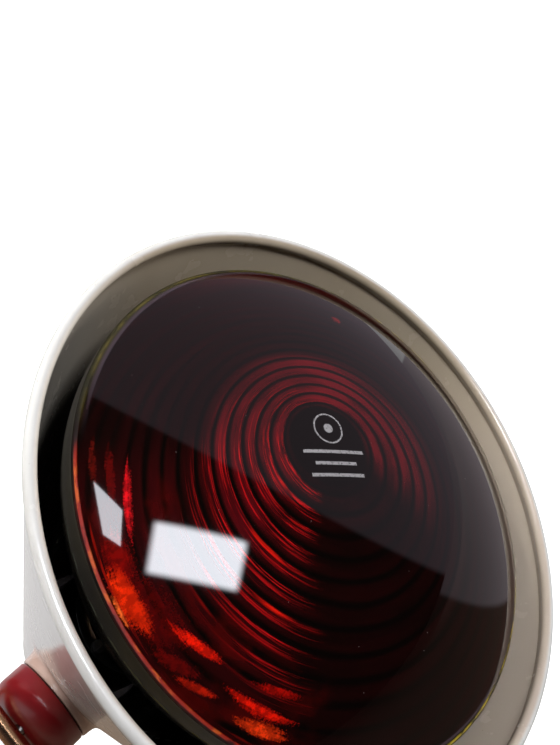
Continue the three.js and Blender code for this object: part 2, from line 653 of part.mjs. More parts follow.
// One rod bent into two inverted Vs joined by the crossbars; its ends meet in the rear bar.
function standRod() {
  const side = (x) => [
    new THREE.Vector3(x, REAR_BAR_Y, ROD_Z),
    new THREE.Vector3(x, TOP_Y, TOP_Z),
    new THREE.Vector3(x, FRONT_BAR_Y, ROD_Z),
  ];
  const rod = bentRod([
    new THREE.Vector3(GAP / 2, REAR_BAR_Y, ROD_Z),
    ...side(ROD_X),
    ...side(-ROD_X).reverse(),
    new THREE.Vector3(-GAP / 2, REAR_BAR_Y, ROD_Z),
  ], ROD_RADIUS, ROD_BEND, 8);
  const hole = rodX(PIVOT_HOLE_RADIUS, ROD_X - 5, SCREW_TIP_X + GAP, 16).translate(0, 0, PIVOT_HEIGHT);
  return cut(rod, hole, mirrorX(hole));
}
place(stand, 'stand_rod', standRod(), BRASS);

const ferrule = tubeX(ROD_RADIUS + 1.1, SLEEVE_BORE, -9, 9).translate(0, REAR_BAR_Y, ROD_Z);
place(stand, 'rod_ferrule', ferrule, BRASS);

// Rubber foot: a sleeve with a flat sole, seen along the crossbar.
function foot() {
  const section = new THREE.Shape();
  const radius = 4.3;
  section.moveTo(-radius + 0.6, -ROD_Z).lineTo(radius - 0.6, -ROD_Z).lineTo(radius, 0);
  section.absarc(0, 0, radius, 0, Math.PI, false);
  section.closePath();
  const bore = new THREE.Path();
  bore.absarc(0, 0, SLEEVE_BORE, 0, 2 * Math.PI, true);
  section.holes.push(bore);
  const sleeve = new THREE.ExtrudeGeometry(section, {
    depth: FOOT_LENGTH,
    bevelEnabled: false,
    curveSegments: 8,
  });
  return sleeve.translate(0, 0, -FOOT_LENGTH / 2).rotateX(Math.PI / 2).rotateZ(Math.PI / 2);
}

for (const [end, y] of [['front', FRONT_BAR_Y], ['rear', REAR_BAR_Y]]) {
  for (const [side, sign] of [['left', -1], ['right', 1]]) {
    const sleeve = place(stand, `foot_${end}_${side}`, foot(), RUBBER);
    sleeve.position.set(sign * FOOT_X, y, ROD_Z);
  }
}

export default lamp;
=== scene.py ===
"""Looks of an infrared table lamp: ruby reflector bulb, cream cone shade, burgundy pivots, brass rod stand.

Head pieces are drawn in the head's own frame, in millimetres: origin on the tilt axis, +Z along the lamp axis.
"""

import json
import math

import bpy
from mathutils import Matrix, Vector


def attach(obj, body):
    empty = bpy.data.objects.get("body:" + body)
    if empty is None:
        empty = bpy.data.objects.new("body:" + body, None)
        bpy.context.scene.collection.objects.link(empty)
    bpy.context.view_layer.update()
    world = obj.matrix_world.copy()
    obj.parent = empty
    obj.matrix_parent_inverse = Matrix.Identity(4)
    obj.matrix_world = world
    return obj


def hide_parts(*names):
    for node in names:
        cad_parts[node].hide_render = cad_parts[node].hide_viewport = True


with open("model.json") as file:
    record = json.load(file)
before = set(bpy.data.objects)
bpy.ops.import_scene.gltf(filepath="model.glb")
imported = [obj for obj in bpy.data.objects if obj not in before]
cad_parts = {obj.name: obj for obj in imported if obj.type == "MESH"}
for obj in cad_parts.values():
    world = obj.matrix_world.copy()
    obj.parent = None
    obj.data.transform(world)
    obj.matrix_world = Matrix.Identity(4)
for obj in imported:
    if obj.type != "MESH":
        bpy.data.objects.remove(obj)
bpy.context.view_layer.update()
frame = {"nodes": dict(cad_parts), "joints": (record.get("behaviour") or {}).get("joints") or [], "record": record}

MM = 0.001
PIVOT = Vector(frame["joints"][0]["pos_m"])
REST_ELEVATION = 47.7
HEAD = Matrix.Translation(PIVOT) @ Matrix.Rotation(math.radians(90 - REST_ELEVATION), 4, "X")

BEAD_Z = 77.6
BEAD_RADIUS = 1.48
RIM_RADIUS = 72.48
CONE_RIM_RADIUS = 72.1
CONE_SLOPE = 0.396
SHEET = 1.0
SHADE_END_Z = -50
FLANGE_RADIUS = 13

BULB_RADIUS = 60.8
BULB_RING_Z = BEAD_Z - 0.8
BULB_LEAN = 0.9
LENS_RISE = 18.5
LENS_SHOULDER = 2.3
LENS_EDGE_INSET = 3.0
LENS_FILLET = 0.6
THREAD_MIDDLE_Z = -26.0
BULB_NECK_RADIUS = 11.4
BULB_NECK_END_Z = -15.5

LEAN = math.radians(BULB_LEAN)
BULB = HEAD @ Matrix.Translation((0, -THREAD_MIDDLE_Z * math.sin(LEAN) * MM, 0)) @ Matrix.Rotation(-LEAN, 4, "X")

SPACER_RADIUS = 11.9
SPACER_END_X = 55.2
SPACER_DOME = 4.7
SPACER_FLAT_RADIUS = 3.9
SEAT_X = 43.9
SEAT_SLOPE = math.tan(math.radians(18))
SEAT_RADIUS = 12.1
SCREW_HOLE_RADIUS = 1.7
GAP = 0.3

ROD_RADIUS = 2.35
ROD_X = SPACER_END_X + GAP + ROD_RADIUS
ROD_Z = 4.0
ROD_BEND = 8.0
FRONT_LEG_SLOPE = math.radians(42.8)
LEG_PAST_PIVOT = 20.0
REAR_BAR_Y = 70.0


# ---------------------------------------------------------------- meshes
def linked(name, data):
    """A new object in the scene."""
    obj = bpy.data.objects.new(name, data)
    bpy.context.scene.collection.objects.link(obj)
    return obj


def mesh_object(name, verts, faces, matrix, sharp=32):
    """A smooth-shaded mesh in metres from points in millimetres, with edges over the angle kept sharp."""
    mesh = bpy.data.meshes.new(name)
    mesh.from_pydata([matrix @ (Vector(v) * MM) for v in verts], [], faces)
    mesh.validate()
    mesh.shade_smooth()
    mesh.set_sharp_from_angle(angle=math.radians(sharp))
    return linked(name, mesh)


def ring_grid(rows, segments, closed):
    """Faces of a grid whose rows wrap round; closed also joins the last row to the first."""
    faces = []
    count = len(rows)
    for i in range(count if closed else count - 1):
        j = (i + 1) % count
        for k in range(segments):
            n = (k + 1) % segments
            faces.append([i * segments + k, i * segments + n, j * segments + n, j * segments + k])
    return faces


def turned(name, profile, matrix, segments=192, closed=False, sharp=32):
    """Body of revolution about local Z from (radius, z) points; a radius of 0 ends in a fan."""
    rows = [p for p in profile if p[0] > 1e-6]
    verts = []
    for r, z in rows:
        for k in range(segments):
            a = 2 * math.pi * k / segments
            verts.append((r * math.cos(a), r * math.sin(a), z))
    faces = ring_grid(rows, segments, closed)
    for end, row, flip in ((profile[0], 0, False), (profile[-1], len(rows) - 1, True)):
        if end[0] <= 1e-6:
            tip = len(verts)
            verts.append((0, 0, end[1]))
            for k in range(segments):
                n = (k + 1) % segments
                pair = [row * segments + n, row * segments + k]
                faces.append([tip, *(reversed(pair) if flip else pair)])
    return mesh_object(name, verts, faces, matrix, sharp)


def arc(cx, cz, rx, rz, start, end, steps):
    """Points of an elliptic arc, angles in degrees."""
    points = []
    for i in range(steps + 1):
        a = math.radians(start + (end - start) * i / steps)
        points.append((cx + rx * math.cos(a), cz + rz * math.sin(a)))
    return points


def line(p, q, steps):
    """Evenly spaced points from p towards q, q itself left out."""
    return [(p[0] + (q[0] - p[0]) * i / steps, p[1] + (q[1] - p[1]) * i / steps) for i in range(steps)]


def cone_radius(z, inset=0.0):
    """Outer radius of the cone at a height, or of a surface inset from it."""
    return CONE_RIM_RADIUS - CONE_SLOPE * (BEAD_Z - z) - inset * math.hypot(1, CONE_SLOPE)


# ---------------------------------------------------------------- materials
class Surface:
    """A Principled material with short calls for its nodes."""

    def __init__(self, name):
        self.material = bpy.data.materials.new(name)
        self.material.use_nodes = True
        self.tree = self.material.node_tree
        self.bsdf = self.tree.nodes["Principled BSDF"]
        self.coords = self.tree.nodes.new("ShaderNodeTexCoord").outputs["Object"]

    def local_mm(self, matrix):
        """X, Y and Z in millimetres in the frame that matrix places at rest."""
        turned_back = self.node("ShaderNodeMapping", "Vector", {"vector_type": "TEXTURE"}, Vector=self.coords,
                                Location=matrix.to_translation(), Rotation=matrix.to_euler())
        scaled = self.node("ShaderNodeVectorMath", "Vector", {"operation": "SCALE"}, Vector=turned_back,
                           Scale=1000.0)
        return self.axes(scaled)

    def set(self, **values):
        for key, value in values.items():
            self.put(self.bsdf.inputs[key.replace("_", " ")], value)

    def put(self, socket, value):
        if isinstance(value, bpy.types.NodeSocket):
            self.tree.links.new(value, socket)
        else:
            socket.default_value = value

    def node(self, kind, output, settings=None, **inputs):
        made = self.tree.nodes.new(kind)
        for key, value in (settings or {}).items():
            setattr(made, key, value)
        for key, value in inputs.items():
            self.put(made.inputs[key.replace("_", " ")], value)
        return made.outputs[output]

    def math(self, operation, *values):
        made = self.tree.nodes.new("ShaderNodeMath")
        made.operation = operation
        for socket, value in zip(made.inputs, values):
            self.put(socket, value)
        return made.outputs[0]

    def total(self, *values):
        result = values[0]
        for value in values[1:]:
            result = self.math("ADD", result, value)
        return result

    def product(self, *values):
        result = values[0]
        for value in values[1:]:
            result = self.math("MULTIPLY", result, value)
        return result

    def window(self, value, low, high, soft):
        """1 between low and high, fading to 0 over soft on both sides."""
        return self.math("MULTIPLY", self.step(value, low - soft, low), self.step(value, high + soft, high))

    def step(self, value, low, high):
        """Smooth step from 0 at low to 1 at high; low may be the larger."""
        made = self.tree.nodes.new("ShaderNodeMapRange")
        made.interpolation_type = "SMOOTHSTEP"
        flip = low > high
        ends = (high, low, 1.0, 0.0) if flip else (low, high, 0.0, 1.0)
        for socket, number in zip(made.inputs[1:5], ends):
            socket.default_value = number
        self.put(made.inputs[0], value)
        return made.outputs[0]

    def axes(self, vector=None):
        made = self.tree.nodes.new("ShaderNodeSeparateXYZ")
        self.put(made.inputs[0], vector or self.coords)
        return made.outputs

    def point(self, x=0.0, y=0.0, z=0.0):
        made = self.tree.nodes.new("ShaderNodeCombineXYZ")
        for socket, value in zip(made.inputs, (x, y, z)):
            self.put(socket, value)
        return made.outputs[0]

    def noise(self, scale, detail=3.0, vector=None, roughness=0.5, distortion=0.0):
        return self.node("ShaderNodeTexNoise", "Fac", Vector=vector or self.coords, Scale=scale,
                         Detail=detail, Roughness=roughness, Distortion=distortion)

    def mix(self, factor, a, b):
        made = self.tree.nodes.new("ShaderNodeMix")
        made.data_type = "RGBA"
        colours = [s for s in made.inputs if s.type == "RGBA"]
        self.put(made.inputs[0], factor)
        self.put(colours[0], a)
        self.put(colours[1], b)
        return [s for s in made.outputs if s.type == "RGBA"][0]

    def bump(self, height, strength, distance):
        normal = self.node("ShaderNodeBump", "Normal", Strength=strength, Distance=distance, Height=height)
        self.tree.links.new(normal, self.bsdf.inputs["Normal"])


def rgb(r, g, b):
    """Linear colour from 0-255 display values."""
    def linear(v):
        v /= 255
        return v / 12.92 if v <= 0.04045 else ((v + 0.055) / 1.055) ** 2.4
    return (linear(r), linear(g), linear(b), 1.0)


def enamel():
    """Glossy stove enamel with painted light: a warmer inside for bounce light, lighter and darker sides within, and
    painted shade by the pivot seats.
    """
    s = Surface("cream_enamel")
    x, y, z = s.local_mm(HEAD)
    radius = s.math("SQRT", s.total(s.product(x, x), s.product(y, y)))
    wall = s.total(s.product(z, CONE_SLOPE), CONE_RIM_RADIUS - CONE_SLOPE * BEAD_Z)
    # the inside tone also covers the bead's inner half, as painted shade
    under_rim = s.product(s.step(s.math("SUBTRACT", wall, radius), 0.45, 0.8), s.step(z, BEAD_Z - 0.4, BEAD_Z - 1.2))
    rim = s.product(s.step(z, BEAD_Z - 1.2, BEAD_Z - 0.4), s.step(radius, RIM_RADIUS - 1.3, RIM_RADIUS - 2.3))
    inside = s.product(s.math("MAXIMUM", under_rim, rim), s.step(z, SHADE_END_Z + 0.1, SHADE_END_Z + 0.6))
    patch = s.step(s.noise(38, 2), 0.15, 0.85)
    outer = s.mix(patch, rgb(224, 222, 216), rgb(217, 214, 207))
    # painted light and shade inside: a warmer cream for bounce light, lighter on the low side and on the -X side
    # (brightest towards +Y), and dark deep inside
    lit_left_wall = s.step(x, 10.0, -40.0)
    lit_low_wall = s.step(y, 15.0, -45.0)
    inner = s.mix(patch, rgb(198, 181, 156), rgb(190, 172, 146))
    inner = s.mix(lit_low_wall, inner, rgb(207, 191, 171))
    inner = s.mix(lit_left_wall, inner, s.mix(s.step(y, 15.0, 45.0), rgb(196, 186, 171), rgb(247, 238, 220)))
    inner = s.mix(s.step(z, 60.0, 44.0), inner, rgb(48, 43, 36))
    # painted shade and red reflection: the outside next to each pivot seat is darker and pinker
    seat_x = s.math("SUBTRACT", s.math("ABSOLUTE", x), SEAT_X)
    seat_off = s.math("SQRT", s.total(s.product(y, y), s.product(z, z)))
    seat_shade_and_reflection = s.product(s.step(seat_off, SEAT_RADIUS + 5.0, SEAT_RADIUS + 1.0), s.step(seat_x, -6.0, -3.0))
    outer = s.mix(s.product(seat_shade_and_reflection, 0.8), outer, rgb(178, 138, 120))
    tone = s.mix(inside, outer, inner)
    speck = s.step(s.noise(900, 2, roughness=0.7), 0.73, 0.77)
    s.set(Base_Color=s.mix(s.product(speck, 0.35), tone, rgb(140, 118, 92)))
    s.set(Roughness=s.total(0.2, s.product(s.noise(120, 4), 0.12)))
    s.set(Coat_Weight=0.7, Coat_Roughness=0.12, Coat_IOR=1.5)
    s.bump(s.noise(60, 2), 0.03, 0.0003)
    return s.material


# Hot reflections seen in the lens near its edge: distance from the middle, bearing from -X in degrees, half width,
# half length in degrees, drift in mm per degree, strength, colour.
LENS_PATCHES = [
    (57.6, 12.8, 2.1, 7.0, 0.06, 0.95, (255, 48, 10)),
    (56.2, 21.0, 2.6, 5.5, 0.0, 0.55, (150, 12, 8)),
    (59.5, 11.8, 0.45, 3.6, 0.0, 0.9, (255, 110, 42)),
    (55.0, 8.0, 4.0, 9.0, 0.1, 0.35, (120, 8, 6)),
    (52.3, -2.4, 1.0, 6.4, 0.18, 1.0, (248, 28, 8)),
    (56.7, -2.8, 1.3, 5.0, 0.3, 0.5, (130, 12, 8)),
    (57.0, -8.9, 0.8, 4.2, 0.24, 0.8, (205, 32, 10)),
    (53.8, -21.6, 1.2, 8.0, 0.03, 1.0, (246, 26, 8)),
    (56.3, -23.8, 1.4, 5.8, 0.1, 1.0, (255, 62, 16)),
    (49.6, -23.4, 0.8, 6.2, 0.12, 0.85, (196, 16, 8)),
    (52.2, 31.8, 0.85, 8.6, -0.1, 0.95, (224, 22, 30)),
    (54.6, 38.5, 0.9, 6.0, 0.0, 0.4, (130, 14, 12)),
    (57.4, 41.0, 0.7, 5.0, 0.0, 0.4, (130, 24, 14)),
    (44.7, 137.8, 1.1, 1.6, 0.0, 0.5, (150, 16, 20)),
]
# The reflector's rings: their middle, how each one drifts, and their pitch.
RING_CENTRE = (-2.87, 12.62)
RING_DRIFT = (-0.113, -0.29)
RING_PITCH = 3.55
PRINT_CENTRE = (-4.1, 8.1)
PRINT_ALONG = (0.81, -0.59)
DRAWN_GRAIN = (60, 60, 900)


def ruby():
    """Ruby glass: near black, with the reflector's red rings painted lit off the middle and painted hot reflections by
    one edge.
    """
    s = Surface("ruby_glass")
    x, y, _ = s.local_mm(BULB)
    radius = s.math("SQRT", s.total(s.product(x, x), s.product(y, y)))
    bearing = s.product(s.math("ARCTAN2", y, s.product(x, -1.0)), 180 / math.pi)

    qx = s.math("SUBTRACT", x, RING_CENTRE[0])
    qy = s.math("SUBTRACT", y, RING_CENTRE[1])
    lean_way = s.total(s.product(qx, RING_DRIFT[0]), s.product(qy, RING_DRIFT[1]))
    spread = 1 - RING_DRIFT[0] ** 2 - RING_DRIFT[1] ** 2
    square = s.total(s.product(qx, qx), s.product(qy, qy))
    root = s.math("SQRT", s.total(s.product(lean_way, lean_way), s.product(square, spread)))
    ring = s.product(s.math("SUBTRACT", root, lean_way), 1 / spread)
    theta = s.math("ARCTAN2", s.math("SUBTRACT", qy, s.product(ring, RING_DRIFT[1])),
                   s.product(s.math("SUBTRACT", qx, s.product(ring, RING_DRIFT[0])), -1.0))
    round_x, round_y = s.math("COSINE", theta), s.math("SINE", theta)

    def ring_noise(across, along, seed, detail=3, roughness=0.55):
        """Noise drawn out along the rings."""
        place = s.point(s.total(s.product(round_x, along), seed), s.product(round_y, along),
                        s.product(ring, across))
        return s.noise(1.0, detail, place, roughness)

    wobble = s.product(s.math("SUBTRACT", ring_noise(0.12, 0.8, 3.0), 0.5), 1.4)
    band = s.math("FRACT", s.math("DIVIDE", s.total(ring, wobble), RING_PITCH))
    body = s.product(s.step(band, 0.05, 0.3), s.step(band, 1.0, 0.72))
    first_edge = s.window(band, 0.20, 0.27, 0.09)
    second_edge = s.window(band, 0.50, 0.58, 0.12)

    # how strongly each sector of the rings is painted lit
    left = s.window(theta, -0.28, 0.66, 0.34)
    lower = s.product(s.window(theta, -0.68, 0.1, 0.2), s.step(ring, 21.0, 27.0))
    top = s.product(s.window(theta, 0.35, 2.5, 0.5), s.window(ring, 10.5, 27.0, 5.0))
    far = s.product(s.step(s.math("ABSOLUTE", theta), 1.9, 2.5), s.window(ring, 10.5, 24.0, 7.0))
    inner = s.step(ring, 9.0, 12.0)
    slow = ring_noise(0.35, 1.3, 20.0, 2)
    streak = ring_noise(1.5, 1.7, 40.0, 4, 0.62)
    in_field = s.product(s.step(s.total(radius, s.product(s.step(bearing, 16.0, 30.0), 4.0)), 55.0, 49.0),
                         s.step(s.total(ring, s.product(theta, 10.0)), 43.0, 33.0))
    vertical_cut = s.step(s.total(s.product(y, 0.62), s.product(x, -0.78), s.product(streak, 12.0)), 20.0, 31.0)
    fine = ring_noise(3.4, 2.2, 60.0, 3, 0.6)
    speckle = s.noise(1.0, 2, s.point(s.product(x, 2.2), s.product(y, 2.2)), 0.7)

    # painted light: a dark red glow in the ring bodies, then broad red bands, bright line highlights and hot spots
    glow = s.product(body, s.total(s.product(left, 0.16), s.product(top, 0.7), s.product(far, 0.9), 0.07), inner,
                     s.total(0.35, s.product(s.step(slow, 0.3, 0.7), 0.65)))
    colour = s.mix(glow, rgb(9, 5, 4), rgb(92, 12, 18))
    broad = s.product(s.math("MAXIMUM", left, lower), inner, vertical_cut, s.step(band, 0.08, 0.34),
                      s.step(band, 0.98, 0.6), s.step(streak, 0.54, 0.74), in_field)
    colour = s.mix(s.product(broad, 0.34), colour, rgb(124, 8, 8))
    lines = s.product(s.math("MAXIMUM", first_edge, s.product(second_edge, 0.7)), inner,
                      s.math("MAXIMUM", s.math("MAXIMUM", left, s.product(lower, vertical_cut)), s.product(top, 0.3)),
                      s.step(fine, 0.44, 0.66), in_field)
    colour = s.mix(s.product(lines, 0.85), colour, rgb(206, 22, 24))
    hot = s.product(s.math("MAXIMUM", s.product(left, 0.7), lower), vertical_cut, inner, first_edge,
                    s.step(slow, 0.54, 0.7), in_field)
    colour = s.mix(hot, colour, rgb(246, 30, 14))

    # painted red haze of light by the edge and a painted glow by the rim, then the painted reflection patches
    haze_noise = s.noise(1.0, 3, s.point(s.product(radius, 0.2), s.product(bearing, 0.08), 9.0))
    haze = s.product(s.window(radius, 47.0, 60.0, 5.0), s.window(bearing, -30.0, 30.0, 9.0),
                     s.step(haze_noise, 0.42, 0.72))
    colour = s.mix(s.product(haze, 0.45), colour, rgb(92, 8, 6))
    rim_glow = s.product(s.step(radius, 52.0, 59.0), s.step(s.math("ABSOLUTE", bearing), 84.0, 120.0))
    colour = s.mix(s.product(rim_glow, 0.6), colour, rgb(58, 6, 8))
    blotch = s.noise(1.0, 4, s.point(s.product(x, 0.55), s.product(y, 0.55), 12.0), 0.65)
    grain = s.total(0.45, s.product(s.step(blotch, 0.42, 0.6), 0.55))
    for distance, angle, half_width, half_length, drift, strength, tint in LENS_PATCHES:
        turn = s.math("SUBTRACT", bearing, angle)
        off = s.math("SUBTRACT", radius, s.total(s.product(turn, drift), distance))
        a, b = s.product(off, 1 / half_width), s.product(turn, 1 / half_length)
        reach = s.total(s.product(a, a), s.product(b, b), s.product(s.math("SUBTRACT", streak, 0.5), 2.8),
                        s.product(s.math("SUBTRACT", speckle, 0.5), 2.2))
        core = s.product(s.step(reach, 1.3, 0.1), grain, strength)
        colour = s.mix(core, colour, rgb(*tint))

    # the fused edge: a thin orange painted highlight on one side with a red one just inside it; round the rest a
    # purple-grey painted edge highlight, a dark olive band and an olive line, painted brighter in two sectors as glints
    glint = s.noise(1.0, 3, s.point(s.product(radius, 0.4), s.product(bearing, 0.16), 5.0), 0.6)
    orange = s.product(s.window(radius, 60.15, 60.45, 0.25), s.window(bearing, -24.0, 42.0, 5.0),
                       s.step(glint, 0.3, 0.45))
    colour = s.mix(orange, colour, s.mix(s.step(glint, 0.5, 0.6), rgb(150, 30, 10), rgb(196, 84, 24)))
    second = s.product(s.window(radius, 59.1, 59.25, 0.2), s.window(bearing, -20.0, 26.0, 6.0),
                       s.step(streak, 0.4, 0.6))
    colour = s.mix(s.product(second, 0.7), colour, rgb(150, 20, 10))
    from_orange = s.math("ABSOLUTE", s.math("SUBTRACT", bearing, 9.0))
    edge_band = s.product(s.step(radius, 58.6, 59.2), s.step(from_orange, 36.0, 60.0))
    edge_tone = s.mix(s.step(radius, 59.2, 59.9), rgb(66, 54, 60), rgb(46, 42, 20))
    colour = s.mix(edge_band, colour, edge_tone)
    olive = s.product(edge_band, s.window(radius, 60.0, 60.3, 0.25), s.step(glint, 0.4, 0.6))
    glinting_sectors = s.math("MAXIMUM", s.window(bearing, 158.0, 176.0, 5.0), s.window(bearing, -118.0, -70.0, 12.0))
    colour = s.mix(olive, colour, s.mix(glinting_sectors, rgb(92, 82, 34), rgb(186, 164, 44)))

    # printed mark: a ring and three plain bars
    px = s.math("SUBTRACT", x, PRINT_CENTRE[0])
    py = s.math("SUBTRACT", y, PRINT_CENTRE[1])
    u = s.total(s.product(px, PRINT_ALONG[0]), s.product(py, PRINT_ALONG[1]))
    v = s.total(s.product(px, -PRINT_ALONG[1]), s.product(py, PRINT_ALONG[0]))
    ring_v = s.math("SUBTRACT", v, 5.6)
    from_ring = s.math("SQRT", s.total(s.product(u, u), s.product(ring_v, ring_v)))
    mark = s.math("MAXIMUM", s.window(from_ring, 3.35, 3.6, 0.12), s.step(from_ring, 1.2, 1.0))
    for at, half in ((0.0, 7.6), (-2.7, 5.2), (-5.4, 6.6)):
        bar = s.product(s.window(v, at - 0.32, at + 0.32, 0.12), s.window(u, -half, half, 0.12))
        mark = s.math("MAXIMUM", mark, bar)
    worn = s.step(s.noise(1.0, 4, s.point(s.product(x, 1.6), s.product(y, 1.6), 30.0), 0.6), 0.28, 0.5)
    colour = s.mix(s.product(mark, worn, 0.62), colour, rgb(186, 182, 182))

    # dust
    cells = s.tree.nodes.new("ShaderNodeTexVoronoi")
    s.put(cells.inputs["Vector"], s.point(x, y))
    cells.inputs["Scale"].default_value = 0.3
    pick = s.axes(cells.outputs["Color"])[0]
    dust = s.product(s.step(cells.outputs["Distance"], 0.034, 0.016), s.step(pick, 0.62, 0.7))
    colour = s.mix(s.product(dust, 0.55), colour, rgb(168, 160, 156))
    s.set(Base_Color=colour, IOR=1.5)
    s.set(Roughness=s.total(0.035, s.product(dust, 0.5), s.product(s.step(radius, 59.9, 60.3), 0.5)))
    return s.material


def bulb_side():
    """Lacquered back of the bulb: black, with an olive band where the silvering ends."""
    s = Surface("bulb_side")
    x, y, z = s.local_mm(BULB)
    depth = s.math("SUBTRACT", BULB_RING_Z, z)
    round_noise = s.noise(260, 4)
    ragged = s.product(s.math("SUBTRACT", round_noise, 0.5), 1.6)
    line_at = s.total(depth, ragged)
    line_mark = s.window(line_at, 5.6, 5.9, 0.45)
    olive = s.window(line_at, 0.2, 5.7, 0.5)
    low_side = s.step(y, 20.0, -20.0)
    band = s.mix(low_side, rgb(56, 51, 38), rgb(74, 60, 24))
    colour = s.mix(s.product(olive, s.step(s.noise(90, 3), 0.2, 0.6)), rgb(40, 36, 30), band)
    mark = s.mix(low_side, rgb(112, 118, 104), rgb(140, 128, 52))
    colour = s.mix(s.product(line_mark, s.step(round_noise, 0.38, 0.56)), colour, mark)
    s.set(Base_Color=colour, Roughness=0.2, IOR=1.5)
    s.bump(s.noise(300, 3), 0.15, 0.0003)
    return s.material


def bakelite(name, low, high, roughness):
    """Moulded plastic with a faint swirl."""
    s = Surface(name)
    swirl = s.noise(70, 5, distortion=1.2)
    s.set(Base_Color=s.mix(swirl, low, high))
    s.set(Roughness=s.total(roughness, s.product(s.noise(260, 4), 0.12)), IOR=1.55)
    s.set(Coat_Weight=0.3, Coat_Roughness=0.18)
    s.bump(s.noise(700, 3), 0.08, 0.0002)
    return s.material


def metal(name, bright, dull, roughness):
    """Drawn metal with a fine grain and tarnish."""
    s = Surface(name)
    grain = s.noise(1.0, 4, s.node("ShaderNodeMapping", "Vector", Vector=s.coords, Scale=DRAWN_GRAIN))
    tarnish = s.step(s.noise(90, 5, roughness=0.65), 0.45, 0.7)
    s.set(Base_Color=s.mix(tarnish, bright, dull), Metallic=1.0)
    s.set(Roughness=s.total(roughness, s.product(grain, 0.14), s.product(tarnish, 0.1)))
    s.bump(grain, 0.06, 0.0002)
    return s.material


def plain(name, low, high, roughness, scale=220, bump=0.3):
    """A grainy surface between two colours."""
    s = Surface(name)
    grain = s.noise(scale, 5, roughness=0.6)
    s.set(Base_Color=s.mix(grain, low, high))
    s.set(Roughness=s.total(roughness, s.product(grain, 0.15)))
    s.bump(grain, bump, 0.0004)
    return s.material


ENAMEL = enamel()
RUBY = ruby()
BULB_SIDE = bulb_side()
BURGUNDY = bakelite("burgundy_bakelite", rgb(112, 14, 18), rgb(128, 22, 26), 0.26)
BLACK = bakelite("black_bakelite", rgb(24, 20, 18), rgb(36, 30, 26), 0.3)
BRASS = metal("brass", rgb(222, 176, 138), rgb(168, 122, 84), 0.16)
STEEL = metal("steel", rgb(190, 190, 188), rgb(150, 148, 142), 0.25)
TUNGSTEN = metal("tungsten", rgb(110, 110, 116), rgb(80, 80, 86), 0.4)
RUBBER = plain("rubber", rgb(34, 31, 29), rgb(48, 44, 41), 0.62)
FIBRE = plain("fibre", rgb(92, 66, 46), rgb(120, 92, 66), 0.7, 500)
CLEAR = plain("clear_glass", rgb(205, 210, 206), rgb(220, 224, 221), 0.05, 60, 0.05)

SLOT_MATERIAL = {
    "cream_enamel": ENAMEL,
    "ruby_glass": RUBY,
    "silvered_glass": BULB_SIDE,
    "burgundy_bakelite": BURGUNDY,
    "black_bakelite": BLACK,
    "brass": BRASS,
    "steel": STEEL,
    "tungsten": TUNGSTEN,
    "clear_glass": CLEAR,
    "rubber": RUBBER,
    "fibre": FIBRE,
}


def finish_piece(obj, body, slot, *nodes):
    """Gives a new piece its material and its body, and hides the CAD nodes that it stands for."""
    obj.data.materials.append(SLOT_MATERIAL[slot])
    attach(obj, body)
    if nodes:
        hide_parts(*nodes)


# ---------------------------------------------------------------- shade
def shade_profile():
    """Closed section of the spun shade: flange, cone, rolled bead and the inside wall, as (radius, z)."""
    bead_from_z = BEAD_Z - BEAD_RADIUS
    crease = BEAD_Z - 1.4 * BEAD_RADIUS
    back = SHADE_END_Z
    outer = arc(cone_radius(back) - 1.5, back + 1.5, 1.5, 1.5, -90, -20, 5)
    points = line((FLANGE_RADIUS, back), outer[0], 6) + outer
    points += line((cone_radius(back + 2.4), back + 2.4), (cone_radius(bead_from_z - 0.4), bead_from_z - 0.4), 60)
    points += [(cone_radius(bead_from_z) - 0.05, bead_from_z + 0.05)]
    points += arc(RIM_RADIUS - BEAD_RADIUS, BEAD_Z, BEAD_RADIUS, BEAD_RADIUS, -38, 214, 30)
    inner_top = (cone_radius(crease, SHEET), crease)
    points += line(inner_top, (cone_radius(back + SHEET + 1, SHEET), back + SHEET + 1), 60)
    points += [(cone_radius(back + SHEET + 1, SHEET) - 0.5, back + SHEET + 0.2)]
    points += [(FLANGE_RADIUS, back + SHEET)]
    return points


shade = turned("shade_shell", shade_profile(), HEAD, 288, True, 40)
finish_piece(shade, "head", "cream_enamel", "shade")


def revolved_x(name, rows, side, segments=96, sharp=32):
    """Body about the tilt axis. A row is (radius, place), and place(y, z) gives its distance along X."""
    verts = []
    for r, place in rows:
        for k in range(segments):
            a = side * 2 * math.pi * k / segments
            y, z = r * math.cos(a), r * math.sin(a)
            verts.append((side * place(y, z), y, z))
    return mesh_object(name, verts, ring_grid(rows, segments, False), HEAD, sharp)


def seat_plane(offset):
    """The seat's slanted plane, moved outwards."""
    return lambda y, z: SEAT_X + offset + SEAT_SLOPE * z


def on_cone(y, z):
    """Distance along X to the cone's outside."""
    return math.sqrt(cone_radius(z) ** 2 - y * y)


def between(share, offset=0.0):
    """Between the seat's plane and the cone, share 0 to 1."""
    return lambda y, z: (1 - share) * (SEAT_X + SEAT_SLOPE * z) + share * on_cone(y, z) + offset


def fixed(x):
    """The same distance along X all round."""
    return lambda y, z: x


